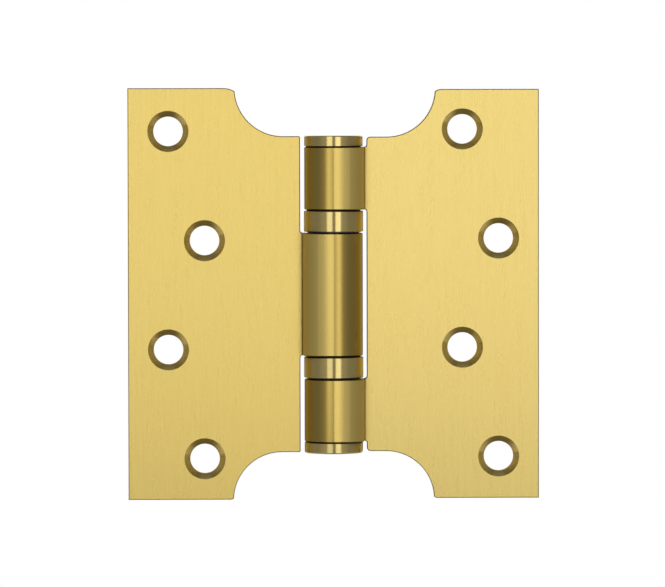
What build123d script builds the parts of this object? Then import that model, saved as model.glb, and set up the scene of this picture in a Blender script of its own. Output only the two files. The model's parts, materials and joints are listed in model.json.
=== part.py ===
from build123d import *
from math import cos, radians, sin, sqrt, tan
import os

# Parliament hinge, open flat. Millimetres.
# The pin axis is Z, through the origin at half height. The two leaves lie either side
# of it, the door leaf on -X and the frame leaf on +X, with their countersunk faces
# towards -Y. Both leaves are blanked from one plate, and their knuckles are curled
# from it round the pin.

# Plate and leaf outline
PLATE_THICKNESS = 3.0
LEAF_REACH = 51.0            # pin axis to a leaf's outer edge
LEAF_HEIGHT = 102.2
FRAME_LEAF_TRIM = 0.3        # the frame leaf is this much shorter at each end
SCOOP_RADIUS = 12.0
EDGE_BREAK = 0.2             # small chamfer left by finishing, on every edge of the plate

# Scoops, cut one by one: pin axis to the centre, and depth below the door leaf's end
DOOR_SCOOP_TOP = (12.5, 11.95)
DOOR_SCOOP_BOTTOM = (12.85, 11.8)
FRAME_SCOOP_TOP = (13.25, 12.1)
FRAME_SCOOP_BOTTOM = (12.95, 12.0)

# How far the shear rolled each ear over beside its scoop: along the edge, and down it
DOOR_EAR_ROLL_TOP = (2.7, 0.8)
FRAME_EAR_ROLL_TOP = (1.6, 0.6)
EAR_ROLL_BOTTOM = (0.8, 0.3)

# Corners beside the barrel
DOOR_NECK_CORNER = 0.35
FRAME_NECK_CORNER = 0.9
NOTCH_ROOT = 0.6

# Screw holes: two columns in a zigzag
SCREW_HOLE_DIAMETER = 7.35
COUNTERSINK_DIAMETER = 10.2
COUNTERSINK_ANGLE = 90
OUTER_COLUMN_MARGIN = 10.0   # outer edge of the leaf to the outer column
COLUMN_SPACING = 9.0
END_HOLE_MARGIN = 10.45      # end of the leaf to the end rows, on average
ROW_SHIFT = 0.25             # the rows sit this far off the middle of each leaf

# Barrel
PIN_DIAMETER = 8.4
PIN_PLAY = 0.05              # radial play of the door leaf's knuckle on the pin
FACE_OFFSET = 1.1            # pin axis to a leaf's face, half the gap of the closed leaves
LEAF_CLEARANCE = 1.0         # barrel to the inner edge of the leaf beside it
CENTRE_KNUCKLE_LENGTH = 30.4
BEARING_HEIGHT = 5.6
BEARING_END_PLAY = 0.1       # at each end of a bearing unit

# Curl of a knuckle: round at the back and on the far side, flatter over its own leaf,
# where its cut end butts on the leaf's face
CROWN_FLATTENING = 3.25      # radius of the crown less that of the barrel
CROWN_ANGLE = 22             # how far the crown leans before the curl turns down
CURL_FLARE = 0.45            # how far the curl's end stands out past the barrel
BUTT_SEAM = 0.2
SWAGE_FILLET = 3.0           # hollow at the back, between the leaf and the barrel
LEAF_LAP = 0.2               # a knuckle's section runs this far on into its leaf

# Caps and pin
CAP_HEIGHT = 2.8
CAP_PROUD = 0.3              # the caps stand this far past the frame leaf's neck
CAP_EDGE_RADIUS = 0.25
CAP_SEAM_BREAK = 0.1
CAP_SEAT_STEP = 0.2          # a cap's rim stands this far off its knuckle, as a shadow line
CAP_SEAT_MARGIN = 0.45       # rim of a cap to the edge of its seat
SPIGOT_LENGTH = 4.0
PIN_END_SPACE = 0.3          # left between the pin and each cap's spigot
PIN_END_CHAMFER = 0.6

# Bearing units
HOUSING_PROUD = 0.1          # radius of a housing less that of the barrel
HOUSING_WALL = 0.6
HOUSING_LIP = 0.25           # the lower race stands this far out of the housing
HOUSING_HOLE_PLAY = 0.5      # pin to the hole in the housing's end
HOUSING_EDGE_RADIUS = 0.25
HOUSING_MOUTH_BREAK = 0.15
HOUSING_SEAT_STEP = 0.2      # how far the seat stands up from the housing's closed end
HOUSING_SEAT_MARGIN = 0.7    # rim of the housing to the edge of its seat
RACE_PIN_PLAY = 0.2
RACE_HOUSING_PLAY = 0.2      # lower race to the inside of the housing
RACE_EDGE_BREAK = 0.15
BALL_DIAMETER = 1.588
BALL_COUNT = 14
BALL_PLAY = 0.02             # ball to the groove of each race
GROOVE_DEPTH = 0.35
CAGE_THICKNESS = 0.5
CAGE_SIDE_PLAY = 0.1         # cage to the races' bore line and to the housing
POCKET_PLAY = 0.05

# Worked out from the sizes above
OUTER_COLUMN_X = LEAF_REACH - OUTER_COLUMN_MARGIN
INNER_COLUMN_X = OUTER_COLUMN_X - COLUMN_SPACING
ROW_PITCH = (LEAF_HEIGHT - 2 * END_HOLE_MARGIN) / 3
PIN_RADIUS = PIN_DIAMETER / 2
BORE_RADIUS = PIN_RADIUS + PIN_PLAY
BARREL_RADIUS = BORE_RADIUS + PLATE_THICKNESS
INNER_EDGE_X = BARREL_RADIUS + LEAF_CLEARANCE
LEAF_BACK_Y = FACE_OFFSET + PLATE_THICKNESS
CURL_END_X = BARREL_RADIUS + CURL_FLARE
CENTRE_KNUCKLE_Z = CENTRE_KNUCKLE_LENGTH / 2
OUTER_KNUCKLE_Z = CENTRE_KNUCKLE_Z + BEARING_HEIGHT + 2 * BEARING_END_PLAY
BARREL_END_Z = LEAF_HEIGHT / 2 - FRAME_SCOOP_TOP[1] + CAP_PROUD
KNUCKLE_END_Z = BARREL_END_Z - CAP_HEIGHT
HOUSING_RADIUS = BARREL_RADIUS + HOUSING_PROUD
HOUSING_INNER_RADIUS = HOUSING_RADIUS - HOUSING_WALL
RACE_BORE_RADIUS = PIN_RADIUS + RACE_PIN_PLAY
BALL_RADIUS = BALL_DIAMETER / 2
BALL_CIRCLE_RADIUS = (RACE_BORE_RADIUS + HOUSING_INNER_RADIUS) / 2
GROOVE_RADIUS = BALL_RADIUS + BALL_PLAY
RACE_GAP = 2 * (GROOVE_RADIUS - GROOVE_DEPTH)
RACE_HEIGHT = (BEARING_HEIGHT - HOUSING_WALL - RACE_GAP) / 2
BALL_HEIGHT = RACE_HEIGHT + RACE_GAP / 2
NEAR = 1e-4


def corners(sketch, *points):
    """The corners of a flat outline that lie at the given points."""
    return [v for v in sketch.vertices()
            if any(abs(v.X - x) < NEAR and abs(v.Y - y) < NEAR for x, y in points)]


def neck_height(scoop):
    """Height of the neck beside a scoop above the middle of the leaf."""
    return LEAF_HEIGHT / 2 - scoop[1]


def ear_side(height, roll, scoop):
    """Upper half of a leaf's edge, on +X: neck, scoop, rolled corner and square ear."""
    neck = neck_height(scoop)
    centre = (scoop[0], neck + SCOOP_RADIUS)
    slant = SCOOP_RADIUS * sqrt(0.5)
    lowest = (centre[0], neck)
    middle = (centre[0] + slant, centre[1] - slant)
    end_z = height / 2 - roll[1]
    end = (centre[0] + sqrt(SCOOP_RADIUS**2 - (end_z - centre[1])**2), end_z)
    flat = (end[0] + roll[0], height / 2)
    edge = Line((INNER_EDGE_X, 0), (INNER_EDGE_X, neck))
    edge += Line((INNER_EDGE_X, neck), lowest)
    edge += ThreePointArc(lowest, middle, end)
    edge += TangentArc(flat, end, tangent=(-1, 0))
    edge += Line(flat, (LEAF_REACH, height / 2))
    edge += Line((LEAF_REACH, height / 2), (LEAF_REACH, 0))
    return edge


def plate(height, roll_top, scoops, spans, neck_corner):
    """The flat leaf on +X with a tab for each knuckle, its edges finished all round.

    The scoops are the top one and the bottom one.
    """
    top, bottom = scoops
    upper = ear_side(height, roll_top, top)
    lower = mirror(ear_side(height, EAR_ROLL_BOTTOM, bottom), about=Plane.XZ)
    blank = make_face(upper.edges() + lower.edges())
    tab_x = (BORE_RADIUS + BARREL_RADIUS) / 2
    for low, high in spans:
        middle = Pos((tab_x + INNER_EDGE_X) / 2, (low + high) / 2)
        blank += middle * Rectangle(INNER_EDGE_X - tab_x, high - low)
    roots = [(INNER_EDGE_X, z) for span in spans for z in span]
    blank = fillet(corners(blank, *roots), NOTCH_ROOT)
    neck = [(INNER_EDGE_X, neck_height(top)), (INNER_EDGE_X, -neck_height(bottom))]
    blank = fillet(corners(blank, *neck), neck_corner)
    solid = extrude(Plane.XZ.offset(-LEAF_BACK_Y) * blank, PLATE_THICKNESS)
    return chamfer(solid.faces().filter_by(Axis.Y).edges(), EDGE_BREAK)


def screw_hole():
    """What a countersunk hole takes out of the plate, on the Y axis."""
    wide = COUNTERSINK_DIAMETER / 2
    narrow = SCREW_HOLE_DIAMETER / 2
    cone = (wide - narrow) / tan(radians(COUNTERSINK_ANGLE / 2))
    profile = Polyline((0, 0), (wide, 0), (narrow, cone), (narrow, PLATE_THICKNESS),
                       (0, PLATE_THICKNESS), close=True)
    return Pos(0, FACE_OFFSET, 0) * revolve(make_face(profile), Axis.Y)


def zigzag(first_x, second_x, shift):
    """Hole centres from the top down, every other one in the second column."""
    heights = [row * ROW_PITCH + shift for row in (1.5, 0.5, -0.5, -1.5)]
    return list(zip([first_x, second_x, first_x, second_x], heights))


def curl_section(bore):
    """Section of a knuckle on the +X leaf, looking down the pin.

    Round the back and the far side it is a ring. Over its own leaf the outside follows
    a flatter crown and then a tighter turn down to the butt seam. At the back a hollow
    fillet joins the ring to the leaf.
    """
    fillet_y = LEAF_BACK_Y + SWAGE_FILLET
    reach = BARREL_RADIUS + SWAGE_FILLET
    fillet_x = sqrt(reach**2 - fillet_y**2)
    swage = (fillet_x, LEAF_BACK_Y)
    ring = (fillet_x * BARREL_RADIUS / reach, fillet_y * BARREL_RADIUS / reach)
    front = (0, -BARREL_RADIUS)
    lean = radians(CROWN_ANGLE)
    flat = BARREL_RADIUS + CROWN_FLATTENING
    crown = (flat * sin(lean), flat * (1 - cos(lean)) - BARREL_RADIUS)
    turn = (CURL_END_X - crown[0]) / (1 - sin(lean))
    side = (CURL_END_X, crown[1] + turn * cos(lean))
    face = (CURL_END_X + LEAF_LAP, FACE_OFFSET)
    back = (CURL_END_X + LEAF_LAP, LEAF_BACK_Y)
    outline = RadiusArc(swage, ring, SWAGE_FILLET)
    outline += ThreePointArc(ring, (-BARREL_RADIUS, 0), front)
    outline += RadiusArc(front, crown, -flat)
    outline += RadiusArc(crown, side, -turn)
    outline += Polyline(side, (CURL_END_X, FACE_OFFSET), face, back, swage)
    seam = Pos(CURL_END_X / 2, FACE_OFFSET - BUTT_SEAM / 2) * Rectangle(CURL_END_X, BUTT_SEAM)
    return make_face(outline.edges()) - Circle(bore) - seam


def knuckle(bore, low, high):
    """One curled knuckle of the +X leaf, its edges broken at both ends but for the bore."""
    solid = Pos(0, 0, low) * extrude(curl_section(bore), high - low)
    ends = solid.faces().filter_by(Axis.Z).edges()
    rims = [e for e in ends if e.geom_type != GeomType.CIRCLE or abs(e.radius - bore) > NEAR]
    return chamfer(rims, EDGE_BREAK)


def leaf(height, roll_top, scoops, spans, bore, holes, neck_corner):
    """A whole leaf on +X: plate, screw holes and curled knuckles in one piece."""
    solid = plate(height, roll_top, scoops, spans, neck_corner)
    for x, z in holes:
        solid -= Pos(x, 0, z) * screw_hole()
    for low, high in spans:
        solid += knuckle(bore, low, high)
    return solid


def door_leaf():
    """Left leaf, with the centre knuckle that turns on the pin."""
    scoops = (DOOR_SCOOP_TOP, DOOR_SCOOP_BOTTOM)
    spans = [(-CENTRE_KNUCKLE_Z, CENTRE_KNUCKLE_Z)]
    holes = zigzag(OUTER_COLUMN_X, INNER_COLUMN_X, -ROW_SHIFT)
    solid = leaf(LEAF_HEIGHT, DOOR_EAR_ROLL_TOP, scoops, spans, BORE_RADIUS, holes,
                 DOOR_NECK_CORNER)
    return mirror(solid, about=Plane.YZ)


def frame_leaf():
    """Right leaf, with the two outer knuckles that grip the pin."""
    height = LEAF_HEIGHT - 2 * FRAME_LEAF_TRIM
    scoops = (FRAME_SCOOP_TOP, FRAME_SCOOP_BOTTOM)
    spans = [(OUTER_KNUCKLE_Z, KNUCKLE_END_Z), (-KNUCKLE_END_Z, -OUTER_KNUCKLE_Z)]
    holes = zigzag(INNER_COLUMN_X, OUTER_COLUMN_X, ROW_SHIFT)
    return leaf(height, FRAME_EAR_ROLL_TOP, scoops, spans, PIN_RADIUS, holes, FRAME_NECK_CORNER)


def turned(profile):
    """A turned piece from its half section, drawn with the radius along X."""
    return revolve(Plane.XZ * profile, Axis.Z)


def hinge_pin():
    """Plain turned pin, chamfered at both ends, a little short of the caps' spigots."""
    half = KNUCKLE_END_Z - SPIGOT_LENGTH - PIN_END_SPACE
    profile = Pos(PIN_RADIUS / 2, 0) * Rectangle(PIN_RADIUS, 2 * half)
    rims = corners(profile, (PIN_RADIUS, half), (PIN_RADIUS, -half))
    return turned(chamfer(rims, PIN_END_CHAMFER))


def top_cap():
    """Turned button with a rounded rim, a seat and a spigot pressed into the knuckle."""
    seat = BARREL_RADIUS - CAP_SEAT_MARGIN
    under = KNUCKLE_END_Z + CAP_SEAT_STEP
    foot = KNUCKLE_END_Z - SPIGOT_LENGTH
    profile = make_face(Polyline(
        (0, foot), (PIN_RADIUS, foot), (PIN_RADIUS, KNUCKLE_END_Z), (seat, KNUCKLE_END_Z),
        (seat, under), (BARREL_RADIUS, under), (BARREL_RADIUS, BARREL_END_Z),
        (0, BARREL_END_Z), close=True))
    profile = fillet(corners(profile, (BARREL_RADIUS, BARREL_END_Z)), CAP_EDGE_RADIUS)
    return turned(chamfer(corners(profile, (BARREL_RADIUS, under)), CAP_SEAM_BREAK))


def bearing_housing():
    """Turned cup, open below, with a raised seat on its closed end."""
    hole = PIN_RADIUS + HOUSING_HOLE_PLAY
    roof = BEARING_HEIGHT - HOUSING_WALL
    seat = HOUSING_RADIUS - HOUSING_SEAT_MARGIN
    rim = BEARING_HEIGHT - HOUSING_SEAT_STEP
    profile = make_face(Polyline(
        (hole, BEARING_HEIGHT), (seat, BEARING_HEIGHT), (seat, rim), (HOUSING_RADIUS, rim),
        (HOUSING_RADIUS, HOUSING_LIP), (HOUSING_INNER_RADIUS, HOUSING_LIP),
        (HOUSING_INNER_RADIUS, roof), (hole, roof), close=True))
    profile = fillet(corners(profile, (HOUSING_RADIUS, rim)), HOUSING_EDGE_RADIUS)
    return turned(chamfer(corners(profile, (HOUSING_RADIUS, HOUSING_LIP)), HOUSING_MOUTH_BREAK))


def race(outer_radius):
    """Ring lying on z = 0, with the balls' groove turned in its upper face."""
    middle = Pos((outer_radius + RACE_BORE_RADIUS) / 2, RACE_HEIGHT / 2)
    ring = middle * Rectangle(outer_radius - RACE_BORE_RADIUS, RACE_HEIGHT)
    ring = chamfer(ring.vertices(), RACE_EDGE_BREAK)
    return turned(ring - Pos(BALL_CIRCLE_RADIUS, BALL_HEIGHT) * Circle(GROOVE_RADIUS))


def lower_race():
    """Race that stands out of the housing's mouth, free inside it."""
    return race(HOUSING_INNER_RADIUS - RACE_HOUSING_PLAY)


def upper_race():
    """Race pressed into the housing, its groove facing down."""
    turned_over = mirror(race(HOUSING_INNER_RADIUS), about=Plane.XY)
    return Pos(0, 0, BEARING_HEIGHT - HOUSING_WALL) * turned_over


def ball_places():
    """Places of the balls of one unit, evenly round the ball circle."""
    step = 360 / BALL_COUNT
    return [Rot(0, 0, step * index) * Pos(BALL_CIRCLE_RADIUS, 0, BALL_HEIGHT)
            for index in range(BALL_COUNT)]


def bearing_cage():
    """Flat ring with a round pocket for each ball."""
    ring = Circle(HOUSING_INNER_RADIUS - CAGE_SIDE_PLAY) - Circle(RACE_BORE_RADIUS + CAGE_SIDE_PLAY)
    for place in ball_places():
        x, y, _ = place.position
        ring -= Pos(x, y) * Circle(BALL_RADIUS + POCKET_PLAY)
    return Pos(0, 0, BALL_HEIGHT - CAGE_THICKNESS / 2) * extrude(ring, CAGE_THICKNESS)


def bearing_unit(name, height):
    """All the pieces of one bearing unit, standing at the given height."""
    unit = Pos(0, 0, height)
    pieces = {
        f"{name}_bearing_housing": unit * bearing_housing(),
        f"{name}_bearing_upper_race": unit * upper_race(),
        f"{name}_bearing_lower_race": unit * lower_race(),
        f"{name}_bearing_cage": unit * bearing_cage(),
    }
    for index, place in enumerate(ball_places(), start=1):
        pieces[f"{name}_bearing_ball_{index:02d}"] = unit * place * Sphere(BALL_RADIUS)
    return pieces


def hinge():
    """Every piece of the hinge, by name."""
    pieces = {
        "door_leaf": door_leaf(),
        "frame_leaf": frame_leaf(),
        "hinge_pin": hinge_pin(),
        "top_cap": top_cap(),
        "bottom_cap": mirror(top_cap(), about=Plane.XY),
    }
    pieces.update(bearing_unit("upper", CENTRE_KNUCKLE_Z + BEARING_END_PLAY))
    pieces.update(bearing_unit("lower", BEARING_END_PLAY - OUTER_KNUCKLE_Z))
    return pieces


os.makedirs("parts", exist_ok=True)
for node, shape in hinge().items():
    export_step(shape, f"parts/{node}.step")
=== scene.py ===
"""Looks of the parliament hinge: satin brass leaves, turned brass caps and bearing
housings, on white in plain soft studio light. Metres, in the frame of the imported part:
pin axis on Z, countersunk faces towards -Y.
"""

import json
from math import pi, radians, tan

import bpy
import numpy as np
from mathutils import Matrix

MM = 0.001

# Camera, fitted to the outline and the hole rings of the photograph. Angles in degrees
CAMERA_PLACE = (-0.020, -1.350, 0.0508)
CAMERA_YAW = -0.837
CAMERA_PITCH = -2.148
CAMERA_ROLL = 0.095
CAMERA_LENS = 294.9
SENSOR_WIDTH = 36.0

# Softboxes beside the camera: angles seen from the hinge, from -Y towards +X, heights of
# foot and head, and levels of white
SOFTBOX_DISTANCE = 1.5
SOFTBOX_HEAD = 0.75
LEFT_ANGLES = (-26.4, -4.9)
LEFT_FOOT = -0.155
LEFT_LEVEL = 1.20
RIGHT_ANGLES = (6.6, 27.5)
RIGHT_FOOT = -0.23
RIGHT_LEVEL = 1.28

# Room round the hinge, as levels of white, and where along a direction's X, Y or Z each
# one fades in: a dim ceiling with a soft light overhead, a lit front, a white backdrop
ROOM_LEVEL = 0.25
CEILING_LEVEL = 0.14
CEILING_SPREAD = (0.25, 0.85)
OVERHEAD_LEVEL = 0.34
OVERHEAD_SPREAD = (0.86, 0.97)
FRONT_LEVEL = 0.38
FRONT_SPREAD = (-0.4, -0.85)
BACKDROP_LEVEL = 1.0
BACKDROP_SPREAD = (0.6, 0.95)

# Dark gap round the camera in the lit front: its middle, and how far it reaches, along X
GAP_MIDDLE = 0.015
GAP_SPREAD = (0.115, 0.160)

# Floor, below the camera's view. Its own glow grows outwards, so that a soft pool of
# painted shade stays under the hinge and the rim runs into the white behind it. Metal and
# glass see the gap round the camera run on across it as a painted dark strip. Its matt part
# is grey, because the glow adds the rest of a pale floor that is white at its rim
FLOOR_HEIGHT = -0.35
FLOOR_RADIUS = 1.0
FLOOR_SIDES = 96
FLOOR_COLOUR = "#B4B4B4"
POOL_SPREAD = (0.30, 0.70)
POOL_GLOW = (0.62, 0.84)
FLOOR_GAP_SPREAD = (0.12, 0.40)
FLOOR_GAP_GLOW = (0.0, 0.68)

# Where the finishes change on a leaf, out from the pin axis on the leaf's own side
SIDE_TO_CROWN = (-1.5 * MM, 3.0 * MM)
CROWN_TO_TURN = (0.5 * MM, 6.0 * MM)
SEAM_SPREAD = (6.8 * MM, 6.0 * MM)
SHEET_SPREAD = (7.3 * MM, 7.9 * MM)

# Part of a leaf that holds all its screw holes: from X, to X, and to Z, either way
DRILLED_FROM = 26.0 * MM
DRILLED_TO = 47.0 * MM
DRILLED_HEIGHT = 48.0 * MM

# Size of the normal's Y as a leaf's face gives way to a cut edge, and of its Z as a
# knuckle gives way to its cut end
EDGE_SLANT = (0.99, 0.96)
END_SLANT = (0.2, 0.5)

# Grain of the brushed sheet: width and length of the fine and the coarse scratches, and
# the share of the coarse ones. A brushing belt leaves scratches about 0.05 mm wide, too
# fine to show, so the fine ones are drawn five times as wide. Noise seldom leaves its
# middle range, which is stretched to the whole
FINE_SCRATCH = (0.25 * MM, 7.0 * MM)
COARSE_SCRATCH = (0.6 * MM, 30.0 * MM)
COARSE_SHARE = 0.35
SCRATCH_DEPTH = 0.0008 * MM
NOISE_RANGE = (0.3, 0.7)

# Rings of the lathe, which fade slowly on their way round. The tool moves about 0.05 mm a
# turn, too fine to show, so they are drawn coarser
LATHE_RING = 0.2 * MM
LATHE_FADE = 50.0 * MM

# Waves left in the gloss of the inner metals by grinding, tumbling or stamping
INNER_WAVE = 0.8 * MM
INNER_WAVE_ROUGHNESS = 0.08

# How far scratches and rings stretch a reflection across themselves
BRUSHED_STRETCH = 0.8
TURNED_STRETCH = 0.7

# Small leans that show in the reflections: the leaves come forward towards their outer
# edges, and the crown of a knuckle leans to its own leaf as far as LEAN_END past the pin
LEAF_LEAN = -0.03
CROWN_LEAN = 0.048
LEAN_END = 3.0 * MM

# Painted shade in the corner beside the barrel, and in the narrow seams between parts: how
# far off a wall counts, and between which shares of open air the painted shade deepens
CORNER_REACH = 6.0 * MM
CORNER_AIR = (0.97, 0.75)
CORNER_SHADE_LEVEL = 0.20
SEAM_REACH = 0.6 * MM
SEAM_AIR = (0.80, 0.45)
AIR_SAMPLES = 8

# Colours: of the sheet from the furrows to the ridges of its grain, the frame leaf a touch
# paler as painted light, of a knuckle from its side, darkened as painted shade, to its
# crown, and of the turned rings
DOOR_SHEET = ("#ECD177", "#F6D980")
# Frame leaf paler as painted light: both leaves are the same brass
FRAME_SHEET_PAINTED_PALER = ("#F2D880", "#FCE08A")
KNUCKLE_SHADED_SIDE_TO_CROWN = ("#BAA055", "#DEC472")
# Drilled holes darker than the sheet, as painted shade
DRILLED_PAINTED_SHADE = "#D2BE7C"
# Sheared edges and knuckle ends darker, as painted shade
SHEARED_PAINTED_SHADE = "#A98B45"
TURNED = ("#D3BD79", "#DEC886")
# Colour of the painted shade in the narrow seams
SEAM_SHADE_COLOUR = "#4A3610"

# Roughness of the same finishes
SHEET_ROUGHNESS = (0.26, 0.31)
KNUCKLE_ROUGHNESS = (0.20, 0.44)
DRILLED_ROUGHNESS = 0.22
SHEARED_ROUGHNESS = 0.45
TURNED_ROUGHNESS = (0.16, 0.24)
SEAM_ROUGHNESS = 0.6

# Directions of the scratches on a leaf's faces, and on its sheared edges
ALONG_PIN = (0.0, 0.0, 1.0)
THROUGH_PLATE = (0.0, 1.0, 0.0)

# Sockets of the Mix node for numbers, vectors and colours, and the output of each
NUMBER_A, NUMBER_B, NUMBER_OUT = 2, 3, 0
VECTOR_A, VECTOR_B, VECTOR_OUT = 4, 5, 1
COLOUR_A, COLOUR_B, COLOUR_OUT = 6, 7, 2


def linear(code):
    """Linear RGBA of an sRGB hex colour."""
    parts = [int(code[i:i + 2], 16) / 255 for i in (1, 3, 5)]
    return [c / 12.92 if c <= 0.04045 else ((c + 0.055) / 1.055) ** 2.4 for c in parts] + [1.0]


def add(tree, kind, settings=None, links=None):
    """Adds a node. Settings fill its properties and sockets, and links feed its sockets."""
    made = tree.nodes.new(kind)
    for name, value in (settings or {}).items():
        if isinstance(name, int) or name in made.inputs:
            made.inputs[name].default_value = value
        else:
            setattr(made, name, value)
    for name, source in (links or {}).items():
        tree.links.new(source, made.inputs[name])
    return made


def new_material(name):
    """An empty material and its node tree."""
    material = bpy.data.materials.new(name)
    material.use_nodes = True
    material.node_tree.nodes.clear()
    return material, material.node_tree


def own_place(tree):
    """Place on the object, and its X, Y and Z."""
    place = add(tree, "ShaderNodeTexCoord").outputs["Object"]
    return place, add(tree, "ShaderNodeSeparateXYZ", None, {"Vector": place}).outputs


def own_normal(tree):
    """Normal in the object's own axes, and its X, Y and Z."""
    normal = add(tree, "ShaderNodeNewGeometry").outputs["Normal"]
    own = add(tree, "ShaderNodeVectorTransform",
              {"vector_type": "NORMAL", "convert_from": "WORLD", "convert_to": "OBJECT"},
              {"Vector": normal}).outputs["Vector"]
    return own, add(tree, "ShaderNodeSeparateXYZ", None, {"Vector": own}).outputs


def slant(tree, letter, spread):
    """From 0 to 1 as the size of one part of the normal runs over a spread."""
    size = add(tree, "ShaderNodeMath", {"operation": "ABSOLUTE"},
               {0: own_normal(tree)[1][letter]}).outputs["Value"]
    return add(tree, "ShaderNodeMapRange", {"From Min": spread[0], "From Max": spread[1]},
               {"Value": size}).outputs["Result"]


def across(tree, along):
    """Direction on the surface across the scratches that run along a vector of the object:
    the surface's normal crossed with that vector."""
    turned = add(tree, "ShaderNodeVectorTransform",
                 {"vector_type": "VECTOR", "convert_from": "OBJECT", "convert_to": "WORLD"},
                 {"Vector": along}).outputs["Vector"]
    normal = add(tree, "ShaderNodeNewGeometry").outputs["Normal"]
    crossed = add(tree, "ShaderNodeVectorMath", {"operation": "CROSS_PRODUCT"},
                  {0: normal, 1: turned}).outputs["Vector"]
    return add(tree, "ShaderNodeVectorMath", {"operation": "NORMALIZE"},
               {0: crossed}).outputs["Vector"]


def round_pin(tree):
    """Direction round the pin axis: that axis crossed with the place on the object."""
    axis = add(tree, "ShaderNodeCombineXYZ", {"Z": 1.0}).outputs["Vector"]
    return add(tree, "ShaderNodeVectorMath", {"operation": "CROSS_PRODUCT"},
               {0: axis, 1: own_place(tree)[0]}).outputs["Vector"]


def round_hole(tree):
    """Direction round a screw hole on its walls: the hole's axis crossed with the normal."""
    axis = add(tree, "ShaderNodeCombineXYZ", {"Y": 1.0}).outputs["Vector"]
    return add(tree, "ShaderNodeVectorMath", {"operation": "CROSS_PRODUCT"},
               {0: axis, 1: own_normal(tree)[0]}).outputs["Vector"]


def scratches(tree, size):
    """Noise drawn out along Z to scratches of one width and length, from 0 to 1."""
    width, length = size
    drawn = add(tree, "ShaderNodeMapping", {"Scale": (1 / width, 1 / width, 1 / length)},
                {"Vector": own_place(tree)[0]}).outputs["Vector"]
    noise = add(tree, "ShaderNodeTexNoise", {"Scale": 1.0, "Detail": 2.0, "Roughness": 0.6},
                {"Vector": drawn}).outputs["Fac"]
    return add(tree, "ShaderNodeMapRange",
               {"From Min": NOISE_RANGE[0], "From Max": NOISE_RANGE[1]},
               {"Value": noise}).outputs["Result"]


def brushed_grain(tree):
    """Grain of the brushing belt: fine scratches with a share of coarse ones."""
    return add(tree, "ShaderNodeMix", {0: COARSE_SHARE},
               {NUMBER_A: scratches(tree, FINE_SCRATCH),
                NUMBER_B: scratches(tree, COARSE_SCRATCH)}).outputs[NUMBER_OUT]


def drilled_part(tree):
    """1 in the part of the leaf that holds the screw holes, 0 along its edges."""
    x, _, z = own_place(tree)[1]
    within = []
    for source, low, high in ((x, DRILLED_FROM, DRILLED_TO), (z, 0.0, DRILLED_HEIGHT)):
        size = add(tree, "ShaderNodeMath", {"operation": "ABSOLUTE"}, {0: source})
        near = add(tree, "ShaderNodeMath",
                   {"operation": "COMPARE", 1: (low + high) / 2, 2: (high - low) / 2},
                   {0: size.outputs["Value"]})
        within.append(near.outputs["Value"])
    return add(tree, "ShaderNodeMath", {"operation": "MULTIPLY"},
               {0: within[0], 1: within[1]}).outputs["Value"]


def cut_faces(tree, sheet):
    """Two shares: of the drilled walls, and of the sheared edges and knuckle ends."""
    edge = add(tree, "ShaderNodeMath", {"operation": "MULTIPLY"},
               {0: slant(tree, "Y", EDGE_SLANT), 1: sheet}).outputs["Value"]
    end = add(tree, "ShaderNodeMath", {"operation": "MAXIMUM"},
              {0: edge, 1: slant(tree, "Z", END_SLANT)}).outputs["Value"]
    inside = drilled_part(tree)
    outside = add(tree, "ShaderNodeMath", {"operation": "SUBTRACT", 0: 1.0}, {1: inside})
    drilled = add(tree, "ShaderNodeMath", {"operation": "MULTIPLY"}, {0: edge, 1: inside})
    sheared = add(tree, "ShaderNodeMath", {"operation": "MULTIPLY"},
                  {0: end, 1: outside.outputs["Value"]})
    return drilled.outputs["Value"], sheared.outputs["Value"]


def leaning(tree, out, sheet, grain):
    """Normal with the scratches and the small leans. They come from a height that is the
    scratch depth times the grain, plus the lean times the distance out from the pin. Past
    the pin that distance is bent by its own square, so that the crown's lean fades."""
    past = add(tree, "ShaderNodeMath", {"operation": "MINIMUM", 1: 0.0}, {0: out}).outputs["Value"]
    bend = add(tree, "ShaderNodeMath", {"operation": "MULTIPLY", 1: 0.5 / LEAN_END}, {0: past})
    bowed = add(tree, "ShaderNodeMath", {"operation": "MULTIPLY_ADD"},
                {0: past, 1: bend.outputs["Value"], 2: out}).outputs["Value"]
    lean = add(tree, "ShaderNodeMix", {NUMBER_A: CROWN_LEAN, NUMBER_B: LEAF_LEAN},
               {0: sheet}).outputs[NUMBER_OUT]
    fall = add(tree, "ShaderNodeMath", {"operation": "MULTIPLY"}, {0: bowed, 1: lean})
    faced = add(tree, "ShaderNodeMath", {"operation": "MULTIPLY"},
                {0: fall.outputs["Value"], 1: own_normal(tree)[1]["Y"]}).outputs["Value"]
    height = add(tree, "ShaderNodeMath", {"operation": "MULTIPLY_ADD", 1: SCRATCH_DEPTH},
                 {0: grain, 2: faced}).outputs["Value"]
    return add(tree, "ShaderNodeBump", {"Strength": 1.0, "Distance": 1.0},
               {"Height": height}).outputs["Normal"]


def closed_in(tree, reach, air, share):
    """From 0 to 1 as the open air within reach of the surface falls over a spread, on a
    share of the surface, or on all of it where the share is None."""
    open_air = add(tree, "ShaderNodeAmbientOcclusion",
                   {"samples": AIR_SAMPLES, "Distance": reach}).outputs["AO"]
    closed = add(tree, "ShaderNodeMapRange", {"From Min": air[0], "From Max": air[1]},
                 {"Value": open_air}).outputs["Result"]
    if share is None:
        return closed
    return add(tree, "ShaderNodeMath", {"operation": "MULTIPLY"},
               {0: closed, 1: share}).outputs["Value"]


def painted_corner_shade(tree, colour, share=None):
    """Colour with painted shade, darker where less open air lies within reach, in the corner
    between the barrel and the leaf beside it."""
    tone = add(tree, "ShaderNodeMapRange", {"To Min": 1.0, "To Max": CORNER_SHADE_LEVEL},
               {"Value": closed_in(tree, CORNER_REACH, CORNER_AIR, share)}).outputs["Result"]
    return add(tree, "ShaderNodeVectorMath", {"operation": "SCALE"},
               {0: colour, "Scale": tone}).outputs["Vector"]


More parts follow.
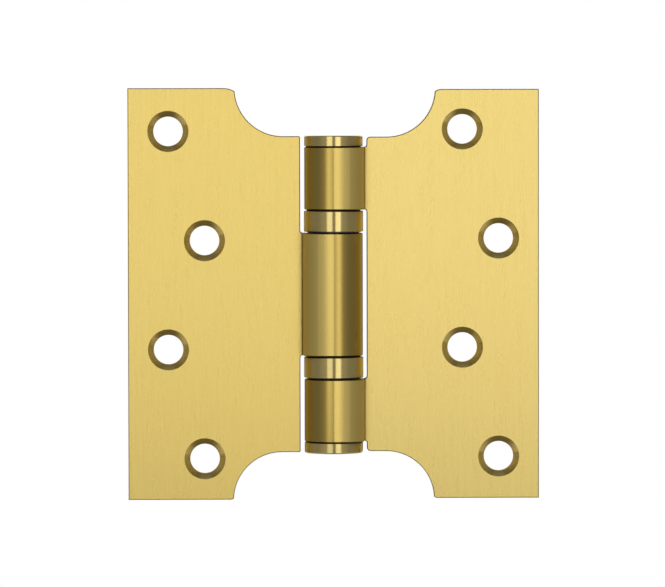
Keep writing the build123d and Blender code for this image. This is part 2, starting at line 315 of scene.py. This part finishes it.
def painted_seam_shade(tree, colour, rough, share=None):
    """Colour and roughness with painted shade in the narrow seams, darker and duller where
    little open air lies within reach. It draws them as thin dark lines."""
    seam_shade = closed_in(tree, SEAM_REACH, SEAM_AIR, share)
    tone = add(tree, "ShaderNodeMix", {"data_type": "RGBA", COLOUR_B: linear(SEAM_SHADE_COLOUR)},
               {0: seam_shade, COLOUR_A: colour})
    gloss = add(tree, "ShaderNodeMix", {NUMBER_B: SEAM_ROUGHNESS},
                {0: seam_shade, NUMBER_A: rough})
    return tone.outputs[COLOUR_OUT], gloss.outputs[NUMBER_OUT]


def leaf_colour(tree, tones, out, grain, sheet, drilled, sheared):
    """Pale brushed sheet in two tones, from the furrows to the ridges of the grain, deeper
    gold on the crowns of the knuckles and darkest on their bare sides as painted shade, and
    darker brass as painted shade in the drilled holes and on the sheared edges."""
    low, high = SIDE_TO_CROWN
    side, crown = KNUCKLE_SHADED_SIDE_TO_CROWN
    furrow, ridge = tones
    reached = add(tree, "ShaderNodeMapRange", {"From Min": low, "From Max": high},
                  {"Value": out}).outputs["Result"]
    # Knuckle colour from its bare side, darkened as painted shade, to its crown
    curled = add(tree, "ShaderNodeMix", {"data_type": "RGBA", COLOUR_A: linear(side),
                                         COLOUR_B: linear(crown)}, {0: reached})
    brushed = add(tree, "ShaderNodeMix", {"data_type": "RGBA", COLOUR_A: linear(furrow),
                                          COLOUR_B: linear(ridge)}, {0: grain})
    colour = add(tree, "ShaderNodeMix", {"data_type": "RGBA"},
                 {0: sheet, COLOUR_A: curled.outputs[COLOUR_OUT],
                  COLOUR_B: brushed.outputs[COLOUR_OUT]}).outputs[COLOUR_OUT]
    # Drilled holes and sheared edges darker, as painted shade
    for share, code in ((drilled, DRILLED_PAINTED_SHADE), (sheared, SHEARED_PAINTED_SHADE)):
        colour = add(tree, "ShaderNodeMix", {"data_type": "RGBA", COLOUR_B: linear(code)},
                     {0: share, COLOUR_A: colour}).outputs[COLOUR_OUT]
    return colour


def leaf_roughness(tree, out, grain, sheet, drilled, sheared):
    """Satin on the brushed sheet, smoother on a knuckle's crown and duller where it turns
    down to its own leaf, bright in the drilled holes and dull on the sheared edges."""
    low, high = CROWN_TO_TURN
    crown, turn = KNUCKLE_ROUGHNESS
    furrow, ridge = SHEET_ROUGHNESS
    curled = add(tree, "ShaderNodeMapRange",
                 {"From Min": low, "From Max": high, "To Min": crown, "To Max": turn},
                 {"Value": out}).outputs["Result"]
    brushed = add(tree, "ShaderNodeMapRange", {"To Min": furrow, "To Max": ridge},
                  {"Value": grain}).outputs["Result"]
    rough = add(tree, "ShaderNodeMix", None,
                {0: sheet, NUMBER_A: curled, NUMBER_B: brushed}).outputs[NUMBER_OUT]
    for share, value in ((drilled, DRILLED_ROUGHNESS), (sheared, SHEARED_ROUGHNESS)):
        rough = add(tree, "ShaderNodeMix", {NUMBER_B: value},
                    {0: share, NUMBER_A: rough}).outputs[NUMBER_OUT]
    return rough


def leaf_brass(name, side, tones):
    """Brass sheet, satin brushed lengthways. Its scratches run along the pin and spread
    reflections sideways, which gives the leaves their even pale sheen and the knuckles
    their soft upright bands. On sheared edges they run through the plate, and in drilled
    holes round the hole. Side is the sign of the leaf's X."""
    material, tree = new_material(name)
    x = own_place(tree)[1]["X"]
    out = add(tree, "ShaderNodeMath", {"operation": "MULTIPLY", 1: side},
              {0: x}).outputs["Value"]
    low, high = SHEET_SPREAD
    sheet = add(tree, "ShaderNodeMapRange", {"From Min": low, "From Max": high},
                {"Value": out}).outputs["Result"]
    low, high = SEAM_SPREAD
    seam = add(tree, "ShaderNodeMapRange", {"From Min": low, "From Max": high},
               {"Value": out}).outputs["Result"]
    grain = brushed_grain(tree)
    drilled, sheared = cut_faces(tree, sheet)
    straight = add(tree, "ShaderNodeMix",
                   {"data_type": "VECTOR", VECTOR_A: ALONG_PIN, VECTOR_B: THROUGH_PLATE},
                   {0: sheared}).outputs[VECTOR_OUT]
    along = add(tree, "ShaderNodeMix", {"data_type": "VECTOR"},
                {0: drilled, VECTOR_A: straight,
                 VECTOR_B: round_hole(tree)}).outputs[VECTOR_OUT]
    # Share that takes the painted corner shade: the knuckles and the cut faces
    corner_shade_share = add(tree, "ShaderNodeMath", {"operation": "MAXIMUM"},
                    {0: seam, 1: sheared}).outputs["Value"]
    colour = leaf_colour(tree, tones, out, grain, sheet, drilled, sheared)
    rough = leaf_roughness(tree, out, grain, sheet, drilled, sheared)
    # Painted shade in the corner beside the barrel and in the narrow seams, darker where little
    # open air lies within reach
    tone, gloss = painted_seam_shade(tree, painted_corner_shade(tree, colour, corner_shade_share), rough, seam)
    metal = add(tree, "ShaderNodeBsdfPrincipled",
                {"Metallic": 1.0, "Anisotropic": BRUSHED_STRETCH},
                {"Base Color": tone, "Roughness": gloss,
                 "Normal": leaning(tree, out, sheet, grain), "Tangent": across(tree, along)})
    add(tree, "ShaderNodeOutputMaterial", None, {"Surface": metal.outputs["BSDF"]})
    return material


def turned_brass():
    """Brass bar turned on a lathe. Its fine rings round the pin spread reflections up and
    down, so the caps and housings show the lights as crisp upright bands."""
    material, tree = new_material("satin_brass_turned")
    low, high = TURNED
    smooth, rough = TURNED_ROUGHNESS
    drawn = add(tree, "ShaderNodeMapping",
                {"Scale": (1 / LATHE_FADE, 1 / LATHE_FADE, 1 / LATHE_RING)},
                {"Vector": own_place(tree)[0]}).outputs["Vector"]
    rings = add(tree, "ShaderNodeTexNoise", {"Scale": 1.0, "Detail": 2.0},
                {"Vector": drawn}).outputs["Fac"]
    colour = add(tree, "ShaderNodeMix", {"data_type": "RGBA", COLOUR_A: linear(low),
                                         COLOUR_B: linear(high)}, {0: rings})
    ringed = add(tree, "ShaderNodeMapRange", {"To Min": smooth, "To Max": rough},
                 {"Value": rings}).outputs["Result"]
    # Painted shade in corners and narrow seams of the caps and housings, darker where little open
    # air lies within reach
    tone, gloss = painted_seam_shade(tree, painted_corner_shade(tree, colour.outputs[COLOUR_OUT]), ringed)
    metal = add(tree, "ShaderNodeBsdfPrincipled",
                {"Metallic": 1.0, "Anisotropic": TURNED_STRETCH},
                {"Base Color": tone, "Roughness": gloss,
                 "Tangent": across(tree, round_pin(tree))})
    add(tree, "ShaderNodeOutputMaterial", None, {"Surface": metal.outputs["BSDF"]})
    return material


def inner_metal(name, code, roughness):
    """Metal of a piece that works inside the barrel, with a faint waviness in its gloss
    from how it was made, so that it doesn't look like one flat tone."""
    material, tree = new_material(name)
    wave = add(tree, "ShaderNodeTexNoise", {"Scale": 1 / INNER_WAVE, "Detail": 2.0},
               {"Vector": own_place(tree)[0]}).outputs["Fac"]
    rough = add(tree, "ShaderNodeMapRange",
                {"To Min": roughness, "To Max": roughness + INNER_WAVE_ROUGHNESS},
                {"Value": wave}).outputs["Result"]
    metal = add(tree, "ShaderNodeBsdfPrincipled",
                {"Metallic": 1.0, "Base Color": linear(code)}, {"Roughness": rough})
    add(tree, "ShaderNodeOutputMaterial", None, {"Surface": metal.outputs["BSDF"]})
    return material


def dress(nodes, record):
    """Gives each piece the finish of its slot, and each leaf its own brass. Ground steel
    gives the pin a cool soft mirror. Grease over polished steel dulls and darkens balls
    and races, and their darker grey is also painted shade, so the seams that show them stay
    dark. Strip brass keeps the half-bright skin of the stamping press on the cages."""
    finishes = {
        "turned_brass": turned_brass(),
        "pin_steel": inner_metal("ground_steel_pin", "#C9C9CB", 0.22),
        # Grey of the bearing steel darkened partly as painted shade in the seams
        "bearing_steel": inner_metal("greased_bearing_steel_painted_dark", "#8F8F92", 0.42),
        "cage_brass": inner_metal("stamped_brass_cage", "#D9BE78", 0.30),
    }
    leaves = {
        "door_leaf": leaf_brass("satin_brass_door_leaf", -1.0, DOOR_SHEET),
        # The frame leaf's paler tones are painted light
        "frame_leaf": leaf_brass("satin_brass_frame_leaf", 1.0, FRAME_SHEET_PAINTED_PALER),
    }
    for part in record["subparts"]:
        name = part["node"]
        mesh = nodes[name].data
        mesh.materials.clear()
        mesh.materials.append(leaves.get(name) or finishes[part["material_slot"]])


def camera():
    """The photograph's camera: a long lens, a little above and left of the pin."""
    data = bpy.data.cameras.new("camera")
    data.lens = CAMERA_LENS
    data.sensor_width = SENSOR_WIDTH
    made = bpy.data.objects.new("camera", data)
    turn = Matrix.Rotation(radians(CAMERA_YAW), 4, "Z")
    turn @= Matrix.Rotation(radians(CAMERA_PITCH), 4, "X")
    turn @= Matrix.Rotation(radians(CAMERA_ROLL), 4, "Y")
    turn @= Matrix.Rotation(radians(90), 4, "X")
    made.matrix_world = Matrix.Translation(CAMERA_PLACE) @ turn
    bpy.context.scene.collection.objects.link(made)
    bpy.context.scene.camera = made


def softbox(name, angles, foot, level):
    """A softbox in the plane behind the camera, between two angles seen from the hinge. An
    area light looks as bright as white when its power is pi times its area."""
    left, right = [SOFTBOX_DISTANCE * tan(radians(angle)) for angle in angles]
    data = bpy.data.lights.new(name, "AREA")
    data.shape = "RECTANGLE"
    data.size = right - left
    data.size_y = SOFTBOX_HEAD - foot
    data.energy = level * pi * data.size * data.size_y
    made = bpy.data.objects.new(name, data)
    made.location = ((left + right) / 2, -SOFTBOX_DISTANCE, (SOFTBOX_HEAD + foot) / 2)
    made.rotation_euler = (radians(90), 0, 0)
    made.visible_camera = False
    bpy.context.scene.collection.objects.link(made)


def room():
    """World: white to the camera. Metal and glass see the same white behind the hinge, a
    lit front with a dark gap round the camera, a soft light overhead, and a darker room
    at the sides. A level fades smoothly from one to the other over its spread."""
    world = bpy.data.worlds.new("room")
    world.use_nodes = True
    bpy.context.scene.world = world
    tree = world.node_tree
    tree.nodes.clear()
    way = add(tree, "ShaderNodeTexCoord").outputs["Generated"]
    x, y, z = add(tree, "ShaderNodeSeparateXYZ", None, {"Vector": way}).outputs
    height = add(tree, "ShaderNodeMath", {"operation": "ABSOLUTE"}, {0: z}).outputs["Value"]
    offset = add(tree, "ShaderNodeMath", {"operation": "SUBTRACT", 1: GAP_MIDDLE},
                 {0: x}).outputs["Value"]
    aside = add(tree, "ShaderNodeMath", {"operation": "ABSOLUTE"}, {0: offset}).outputs["Value"]
    level = {}
    for name, value, spread, ends in (
            ("sides", height, CEILING_SPREAD, (ROOM_LEVEL, CEILING_LEVEL)),
            ("gap", aside, GAP_SPREAD, (ROOM_LEVEL, FRONT_LEVEL)),
            ("front", y, FRONT_SPREAD, (ROOM_LEVEL, FRONT_LEVEL)),
            ("backdrop", y, BACKDROP_SPREAD, (ROOM_LEVEL, BACKDROP_LEVEL)),
            ("overhead", z, OVERHEAD_SPREAD, (0.0, OVERHEAD_LEVEL))):
        level[name] = add(tree, "ShaderNodeMapRange",
                          {"interpolation_type": "SMOOTHSTEP", "From Min": spread[0],
                           "From Max": spread[1], "To Min": ends[0], "To Max": ends[1]},
                          {"Value": value})
    for name, socket, source in (("front", "To Min", "sides"), ("front", "To Max", "gap"),
                                 ("backdrop", "To Min", "sides")):
        tree.links.new(level[source].outputs["Result"], level[name].inputs[socket])
    strength = add(tree, "ShaderNodeLightPath").outputs["Is Camera Ray"]
    for name in ("backdrop", "front", "overhead"):
        strength = add(tree, "ShaderNodeMath", {"operation": "MAXIMUM"},
                       {0: strength, 1: level[name].outputs["Result"]}).outputs["Value"]
    light = add(tree, "ShaderNodeBackground", {"Color": (1, 1, 1, 1)}, {"Strength": strength})
    add(tree, "ShaderNodeOutputWorld", None, {"Surface": light.outputs["Background"]})


def white_floor():
    """Matt white floor with a glow of its own that camera, metal and glass see, so that it
    runs into the white behind it and keeps a soft shadow. Its glow is weaker under the
    hinge, a pool of painted shade, and metal sees a painted dark strip across it."""
    material, tree = new_material("matt_white_floor")
    place, (x, _, _) = own_place(tree)
    flat = add(tree, "ShaderNodeVectorMath", {"operation": "MULTIPLY", 1: (1.0, 1.0, 0.0)},
               {0: place}).outputs["Vector"]
    away = add(tree, "ShaderNodeVectorMath", {"operation": "LENGTH"},
               {0: flat}).outputs["Value"]
    aside = add(tree, "ShaderNodeMath", {"operation": "ABSOLUTE"}, {0: x}).outputs["Value"]
    # Glow the camera sees, weaker in the middle as a pool of painted shade, and glow metal sees,
    # with a painted dark strip
    glow, mirrored_glow = [
        add(tree, "ShaderNodeMapRange",
            {"interpolation_type": "SMOOTHSTEP", "From Min": spread[0],
             "From Max": spread[1], "To Min": ends[0], "To Max": ends[1]},
            {"Value": value}).outputs["Result"]
        for value, spread, ends in ((away, POOL_SPREAD, POOL_GLOW),
                                    (aside, FLOOR_GAP_SPREAD, FLOOR_GAP_GLOW))]
    path = add(tree, "ShaderNodeLightPath").outputs
    mirrored = add(tree, "ShaderNodeMath", {"operation": "MAXIMUM"},
                   {0: path["Is Glossy Ray"], 1: path["Is Transmission Ray"]})
    seen = add(tree, "ShaderNodeMath", {"operation": "MULTIPLY"},
               {0: path["Is Camera Ray"], 1: glow})
    strength = add(tree, "ShaderNodeMath", {"operation": "MULTIPLY_ADD"},
                   {0: mirrored.outputs["Value"], 1: mirrored_glow,
                    2: seen.outputs["Value"]}).outputs["Value"]
    matt = add(tree, "ShaderNodeBsdfDiffuse", {"Color": linear(FLOOR_COLOUR)})
    shine = add(tree, "ShaderNodeEmission", None, {"Strength": strength})
    both = add(tree, "ShaderNodeAddShader", None,
               {0: matt.outputs["BSDF"], 1: shine.outputs["Emission"]})
    add(tree, "ShaderNodeOutputMaterial", None, {"Surface": both.outputs["Shader"]})
    return material


def floor():
    """Round floor. Each point of its rim lies at the radius times the cosine and the sine
    of its angle, and one face fills it."""
    angles = np.linspace(0, 2 * pi, FLOOR_SIDES, endpoint=False)
    rim = np.column_stack((FLOOR_RADIUS * np.cos(angles), FLOOR_RADIUS * np.sin(angles),
                           np.full(FLOOR_SIDES, FLOOR_HEIGHT)))
    mesh = bpy.data.meshes.new("floor")
    mesh.from_pydata(rim.tolist(), [], [list(range(FLOOR_SIDES))])
    mesh.materials.append(white_floor())
    made = bpy.data.objects.new("floor", mesh)
    bpy.context.scene.collection.objects.link(made)


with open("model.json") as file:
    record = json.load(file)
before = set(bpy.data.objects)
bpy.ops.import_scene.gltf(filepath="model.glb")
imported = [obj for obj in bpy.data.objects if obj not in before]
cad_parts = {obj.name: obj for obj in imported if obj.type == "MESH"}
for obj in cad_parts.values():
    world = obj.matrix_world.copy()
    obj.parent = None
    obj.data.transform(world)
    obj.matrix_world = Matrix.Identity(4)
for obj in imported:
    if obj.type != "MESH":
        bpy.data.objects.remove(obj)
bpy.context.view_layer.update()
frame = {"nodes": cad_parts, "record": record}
dress(frame["nodes"], frame["record"])
camera()
softbox("left_softbox", LEFT_ANGLES, LEFT_FOOT, LEFT_LEVEL)
softbox("right_softbox", RIGHT_ANGLES, RIGHT_FOOT, RIGHT_LEVEL)
room()
floor()
bpy.context.scene.view_settings.view_transform = "Standard"
